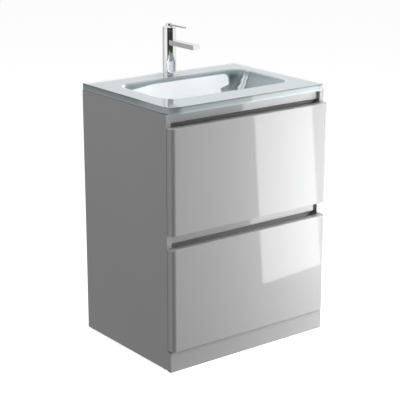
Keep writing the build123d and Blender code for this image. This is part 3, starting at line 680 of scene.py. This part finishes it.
def basin_rings():
    """Rings from the lip down the bowl, through the waste hole and back up round the rim."""
    reach = tan(radians(45) - BOWL_TAPER / 2)
    floor_z = rim_top - BOWL_DEPTH
    under_z = floor_z - BOWL_WALL
    rim_under = rim_top - RIM_THICKNESS
    taper_degrees = degrees(BOWL_TAPER)
    inside, outside, rim = [], [], []
    for r, z in arc((BOWL_LIP * reach, rim_top - BOWL_LIP), BOWL_LIP, 90, 180 - taper_degrees, LIP_STEPS):
        inside.append(bowl_ring(r, z))
    floor_r = -BOWL_DEPTH * tan(BOWL_TAPER) - BOWL_FILLET * reach
    for r, z in arc((floor_r, floor_z + BOWL_FILLET), BOWL_FILLET, -taper_degrees, -90, FILLET_STEPS):
        inside.append(bowl_ring(r, z))
    hole = (WASTE_HOLE, WASTE_HOLE, (WASTE_HOLE * HOLE_ROUNDNESS,) * 4)
    inside.append(rounded_ring(*hole, floor_z, (0, bowl_y)))
    outside.append(rounded_ring(*hole, under_z, (0, bowl_y)))
    under_r = BOWL_WALL / 2 - (rim_under - under_z) * tan(BOWL_TAPER) - UNDER_FILLET * reach
    outer_corner = BOWL_CORNER + BOWL_WALL / 2
    for r, z in arc((under_r, under_z + UNDER_FILLET), UNDER_FILLET, -90, -taper_degrees, FILLET_STEPS):
        outside.append(bowl_ring(r, z, outer_corner))
    outside.append(bowl_ring(BOWL_WALL / 2, rim_under, outer_corner))
    for inset, z in arc((RIM_ARRIS, rim_under + RIM_ARRIS), -RIM_ARRIS, 90, 0, ARRIS_STEPS):
        rim.append(rim_ring(inset, z))
    for inset, z in arc((RIM_ARRIS, rim_top - RIM_ARRIS), -RIM_ARRIS, 0, -90, ARRIS_STEPS):
        rim.append(rim_ring(inset, z))
    return inside, outside, rim


def glass_basin():
    """The moulding, with a skin for its top, bowl, edge and back, and the tap hole drilled."""
    inside, outside, rim = basin_rings()
    rings = inside + outside + rim
    vertices, faces = loft(rings, closed=True)
    top, bowl, edge, back = range(4)
    strip_slots = [bowl] * len(inside) + [back] * len(outside) + [edge] * (len(rim) - 1) + [top]
    face_slots = [slot for slot in strip_slots for _ in range(len(rings[0]))]
    piece = mesh_piece("glass_basin_moulded", vertices, faces, GLASS_SKINS, face_slots)
    drill(piece, (0, tap_y), TAP_HOLE, rim_top - 2 * RIM_THICKNESS, rim_top + RIM_THICKNESS)
    weigh_normals(piece)
    take_place(piece, "cabinet", "basin_glass", "glass_basin")


glass_basin()

# ---------------------------------------------------------------- mixer tap
TAP_RADIUS = (body_high.x - body_low.x) / 2
RING_RADIUS = (ring_high.x - ring_low.x) / 2
SHANK_RADIUS = 16.8 * MM
CHAMBER_RADIUS = 18.5 * MM
CHAMBER_DEPTH = 28.5 * MM
TAP_EDGE = 0.5 * MM
TAP_EDGE_STEPS = 3
RING_EDGE = 1.5 * MM
RING_EDGE_STEPS = 6
CAP_RADIUS = 40.2 * MM
CAP_INSIDE = 38.4 * MM
CAP_PIVOT_DEPTH = 45.7 * MM
CAP_STEPS = 10
CAP_INSIDE_STEPS = 14
HUB_RADIUS = 10.5 * MM
HUB_EDGE = 1 * MM
SOCKET_RADIUS = 2.6 * MM
SOCKET_ROOF = 3.5 * MM
SPOUT_ARRIS = 0.7 * MM
SPOUT_HALF_STEPS = 6
AERATOR_BORE = 9 * MM
LEVER_ARRIS = 0.6 * MM
LEVER_CORNER = 1.5 * MM
LEVER_ROOT = 0.9 * HUB_RADIUS
SMALL_STEPS = 4
tap_centre = (0, tap_y)


def tap_ring():
    """The ring between the basin and the column."""
    ring = [
        (SHANK_RADIUS, ring_low.z),
        (RING_RADIUS, ring_low.z),
        *arc((RING_RADIUS - RING_EDGE, ring_high.z - RING_EDGE), RING_EDGE, 0, 90, RING_EDGE_STEPS),
        (SHANK_RADIUS, ring_high.z),
    ]
    piece = mesh_piece("tap_ring_plated", *lathe(ring, tap_centre), [CHROMED])
    take_place(weigh_normals(piece), "cabinet", "chrome", "tap_base_ring")


def tap_column():
    """The column, with the cartridge's chamber in its top."""
    base, top = ring_high.z, body_high.z
    edge_radius = TAP_RADIUS - TAP_EDGE
    column = [
        (0, base),
        *arc((edge_radius, base + TAP_EDGE), TAP_EDGE, -90, 0, TAP_EDGE_STEPS),
        *arc((edge_radius, top - TAP_EDGE), TAP_EDGE, 0, 90, TAP_EDGE_STEPS),
        (CHAMBER_RADIUS, top),
        (CHAMBER_RADIUS, top - CHAMBER_DEPTH),
        (0, top - CHAMBER_DEPTH),
    ]
    piece = mesh_piece("tap_body_plated", *lathe(column, tap_centre), [CHROMED])
    take_place(weigh_normals(piece), "cabinet", "chrome", "tap_body")


def sphere_angle(across, radius):
    """Angle, in degrees above the horizontal, of a sphere's point that far from the axis."""
    return bearing(across, sqrt(radius**2 - across**2))


def tap_cap():
    """A shell cut from a sphere about the lift pivot, with a round hub that the lever enters."""
    pivot = (0, cap_top - CAP_PIVOT_DEPTH)
    outer_rim = sphere_angle(TAP_RADIUS, CAP_RADIUS)
    hub_angle = sphere_angle(HUB_RADIUS, CAP_RADIUS)
    inner_rim = sphere_angle(TAP_RADIUS, CAP_INSIDE)
    inner_socket = sphere_angle(SOCKET_RADIUS, CAP_INSIDE)
    cap = [
        *arc(pivot, CAP_INSIDE, inner_socket, inner_rim, CAP_INSIDE_STEPS),
        *arc(pivot, CAP_RADIUS, outer_rim, hub_angle, CAP_STEPS),
        *arc((HUB_RADIUS - HUB_EDGE, cap_top - HUB_EDGE), HUB_EDGE, 0, 90, SMALL_STEPS),
        (0, cap_top),
        (0, cap_top - SOCKET_ROOF),
        (SOCKET_RADIUS, cap_top - SOCKET_ROOF),
    ]
    piece = mesh_piece("tap_cap_plated", *lathe(cap, tap_centre), [CHROMED])
    take_place(weigh_normals(piece), "mixer_lever", "chrome", "tap_cap")


def tap_spout():
    """A square bar that ends on the column's round face, bored from below for the aerator."""
    half = spout_high.x
    half_cover = atan2(half, sqrt(TAP_RADIUS**2 - half**2))
    angles = [half_cover * (1 - k / SPOUT_HALF_STEPS) for k in range(2 * SPOUT_HALF_STEPS + 1)]
    back = [(TAP_RADIUS * sin(angle), tap_y - TAP_RADIUS * cos(angle)) for angle in angles]
    outline = [(-half, spout_low.y), (half, spout_low.y)] + back
    bar = loft([[(x, y, z) for x, y in outline] for z in (spout_low.z, spout_high.z)])
    piece = mesh_piece("tap_spout_plated", *bar, [CHROMED])
    aerator_low, aerator_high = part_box("tap_aerator")
    outlet = (0, (aerator_low.y + aerator_high.y) / 2)
    drill(piece, outlet, AERATOR_BORE, spout_low.z - AERATOR_BORE, spout_low.z + AERATOR_BORE)
    soften(piece, SPOUT_ARRIS)
    take_place(piece, "cabinet", "chrome", "tap_spout")


def tap_lever():
    """A flat bar with rounded end corners, running into the hub."""
    half = lever_high.x
    corner = LEVER_CORNER
    outline = [
        (half, tap_y - LEVER_ROOT),
        (-half, tap_y - LEVER_ROOT),
        *arc((-half + corner, lever_low.y + corner), corner, 180, 270, SMALL_STEPS),
        *arc((half - corner, lever_low.y + corner), corner, 270, 360, SMALL_STEPS),
    ]
    bar = loft([[(x, y, z) for x, y in outline] for z in (lever_low.z, lever_high.z)])
    piece = mesh_piece("tap_lever_plated", *bar, [CHROMED])
    soften(piece, LEVER_ARRIS)
    take_place(piece, "mixer_lever", "chrome", "tap_lever")


tap_ring()
tap_column()
tap_cap()
tap_spout()
tap_lever()

# ---------------------------------------------------------------- waste
WASTE_BORE = 17 * MM
WASTE_RADIUS = 20.9 * MM
THREAD_LENGTH = 44 * MM
THREAD_PITCH = 2.3 * MM
THREAD_DEPTH = 1.1 * MM
FLANGE_THICKNESS = 2.5 * MM
FLANGE_EDGE = 1.2 * MM
FLANGE_EDGE_STEPS = 5
PLUG_CROWN = 2.2 * MM
PLUG_EDGE = 0.8 * MM
PLUG_EDGE_STEPS = 3
PLUG_SKIRT = 3 * MM
PLUG_SHOULDER = 0.5 * MM
CROWN_STEPS = 10
STEM_RADIUS = 2.5 * MM
waste_centre = (0, bowl_y)


def waste_body():
    """The threaded tail and its flange in one."""
    flange = (waste_high.x - waste_low.x) / 2
    top = waste_high.z
    profile = [(WASTE_BORE, top), (WASTE_BORE, waste_low.z)]
    z = waste_low.z
    while z < waste_low.z + THREAD_LENGTH:
        profile.append((WASTE_RADIUS - THREAD_DEPTH, z))
        profile.append((WASTE_RADIUS, z + THREAD_PITCH / 2))
        z += THREAD_PITCH
    profile += [
        (WASTE_RADIUS, z),
        (WASTE_RADIUS, top - FLANGE_THICKNESS),
        (flange, top - FLANGE_THICKNESS),
        *arc((flange - FLANGE_EDGE, top - FLANGE_EDGE), FLANGE_EDGE, 0, 90, FLANGE_EDGE_STEPS),
    ]
    piece = mesh_piece("waste_body_plated", *lathe(profile, waste_centre), [CHROMED])
    take_place(weigh_normals(piece), "cabinet", "chrome", "waste_body")


def waste_plug():
    """A crowned disc on a stem."""
    radius = (plug_high.x - plug_low.x) / 2
    crown_radius = (radius**2 + PLUG_CROWN**2) / (2 * PLUG_CROWN)
    crown_edge = sphere_angle(radius - PLUG_EDGE, crown_radius)
    base = plug_high.z - PLUG_CROWN - PLUG_SKIRT
    plug = [
        (0, plug_low.z),
        (STEM_RADIUS, plug_low.z),
        (STEM_RADIUS, base),
        *arc((radius - PLUG_EDGE, base + PLUG_EDGE), PLUG_EDGE, -90, 0, PLUG_EDGE_STEPS),
        (radius, plug_high.z - PLUG_CROWN - PLUG_SHOULDER),
        *arc((0, plug_high.z - crown_radius), crown_radius, crown_edge, 90, CROWN_STEPS),
    ]
    piece = mesh_piece("waste_plug_plated", *lathe(plug, waste_centre), [CHROMED])
    take_place(weigh_normals(piece), "click_plug", "chrome", "waste_plug")


waste_body()
waste_plug()

# ---------------------------------------------------------------- stage, light and camera
FLOOR_HALF = 30
FLOOR_DROP = 0.2 * MM
FLOOR_GLOW = 0.8
WINDOW_Y = -1.0
WINDOW_OUTLINE = ((0.705, -0.165), (1.08, -0.165), (0.98, 0.62), (0.63, 0.62))
WINDOW_GLOW = 4.2
AMBIENT = 0.32
CEILING = 0.9
CEILING_STEEPNESS = (0.55, 0.7)
CAMERA_PLACE = (-2.347, -3.064, 1.578)
CAMERA_YAW = 37.19
CAMERA_PITCH = 16.54
CAMERA_LENS = 115.2
SENSOR_WIDTH = 36

# Each lamp: name, place, the point it aims at, width and height, watts.
LAMPS = (
    ("key", (0.76, -0.76, 0.42), (0.15, -0.2, 0.42), (0.3, 1.1), 15.0),
    ("overhead", (0.3, -0.2, 2.5), (0, 0, 0.7), (1.6, 1.6), 50),
    ("left_fill", (-1.7, 0.1, 1.6), (-0.3, 0, 0.5), (0.8, 0.8), 3.5),
)

# How bright the room's walls are, by heading in degrees: 0 is -Y, the front, and 90 is +X.
ROOM_WALLS = (
    (-180, 0.85), (-158, 0.85), (-150, 0.42), (-134, 0.42), (-126, 0.95), (-70, 1.0),
    (-66, 0.05), (28, 0.05), (31, 1.0), (90, 0.9), (180, 0.85),
)


def backdrop(name, corners, material):
    """One face that isn't part of the object."""
    mesh = bpy.data.meshes.new(name)
    mesh.from_pydata(corners, [], [(0, 1, 2, 3)])
    mesh.materials.append(material)
    sheet = bpy.data.objects.new(name, mesh)
    bpy.context.scene.collection.objects.link(sheet)
    return sheet


def stage_floor():
    """A pale floor that glows almost white and takes only a faint shadow."""
    finish = Finish(
        "studio_floor",
        Base_Color=(0.5, 0.5, 0.5, 1),
        Roughness=0.9,
        Specular_IOR_Level=0.0,
        Emission_Color=(1, 1, 1, 1),
        Emission_Strength=FLOOR_GLOW,
    )
    signs = ((-1, -1), (1, -1), (1, 1), (-1, 1))
    corners = [(x * FLOOR_HALF, y * FLOOR_HALF, -FLOOR_DROP) for x, y in signs]
    floor = backdrop("studio_floor", corners, finish.material)
    floor.visible_glossy = False
    floor.visible_diffuse = False


def window_card():
    """A bright card that only reflections see: the window in the lacquer."""
    finish = Finish(
        "window_light",
        Base_Color=(0, 0, 0, 1),
        Specular_IOR_Level=0.0,
        Emission_Color=(1, 1, 1, 1),
        Emission_Strength=WINDOW_GLOW,
    )
    corners = [(x, WINDOW_Y, z) for x, z in WINDOW_OUTLINE]
    card = backdrop("window_card", corners, finish.material)
    card.visible_camera = False
    card.visible_diffuse = False
    card.visible_shadow = False


def soft_light(name, place, aim, size, power):
    """A rectangular lamp that neither the camera nor a reflection sees."""
    light = bpy.data.lights.new(name, "AREA")
    light.shape = "RECTANGLE"
    light.size, light.size_y = size
    light.energy = power
    lamp = bpy.data.objects.new(name, light)
    lamp.location = place
    lamp.rotation_euler = (Vector(aim) - Vector(place)).to_track_quat("-Z", "Y").to_euler()
    lamp.visible_glossy = False
    lamp.visible_camera = False
    bpy.context.scene.collection.objects.link(lamp)


def room_colour(nodes):
    """The walls by heading, and a pale ceiling and floor where the direction is steep."""
    direction = nodes.node("SeparateXYZ")
    nodes.link(nodes.node("TexCoord").outputs["Generated"], direction.inputs["Vector"])
    to_front = nodes.math("MULTIPLY", direction.outputs["Y"], -1)
    heading = nodes.math("ARCTAN2", direction.outputs["X"], to_front)
    stops = [((degree + 180) / 360, (value,) * 3) for degree, value in ROOM_WALLS]
    walls = nodes.ramp(nodes.span(heading, 0.0, 1.0, -pi, pi), stops)
    steep = nodes.math("ABSOLUTE", direction.outputs["Z"])
    return nodes.mix(nodes.span(steep, 0.0, 1.0, *CEILING_STEEPNESS), walls, (CEILING,) * 3)


def studio_world():
    """White behind the object, a room in its reflections and even light all round."""
    world = bpy.data.worlds.new("studio")
    bpy.context.scene.world = world
    world.use_nodes = True
    nodes = Nodes(world.node_tree)
    path = nodes.node("LightPath")
    lit = nodes.mix(path.outputs["Is Diffuse Ray"], room_colour(nodes), (AMBIENT,) * 3)
    seen = nodes.mix(path.outputs["Is Camera Ray"], lit, (1, 1, 1))
    nodes.link(seen, world.node_tree.nodes["Background"].inputs["Color"])


def studio_camera():
    """A long lens that looks down from the front left, its yaw and pitch in degrees."""
    camera = bpy.data.cameras.new("camera")
    camera.lens = CAMERA_LENS
    camera.sensor_width = SENSOR_WIDTH
    seat = bpy.data.objects.new("camera", camera)
    seat.location = CAMERA_PLACE
    seat.rotation_euler = (radians(90 - CAMERA_PITCH), 0, radians(-CAMERA_YAW))
    bpy.context.scene.collection.objects.link(seat)
    bpy.context.scene.camera = seat


stage_floor()
window_card()
studio_world()
for lamp_settings in LAMPS:
    soft_light(*lamp_settings)
studio_camera()
bpy.context.scene.view_settings.view_transform = "Standard"
bpy.context.scene.view_settings.look = "None"
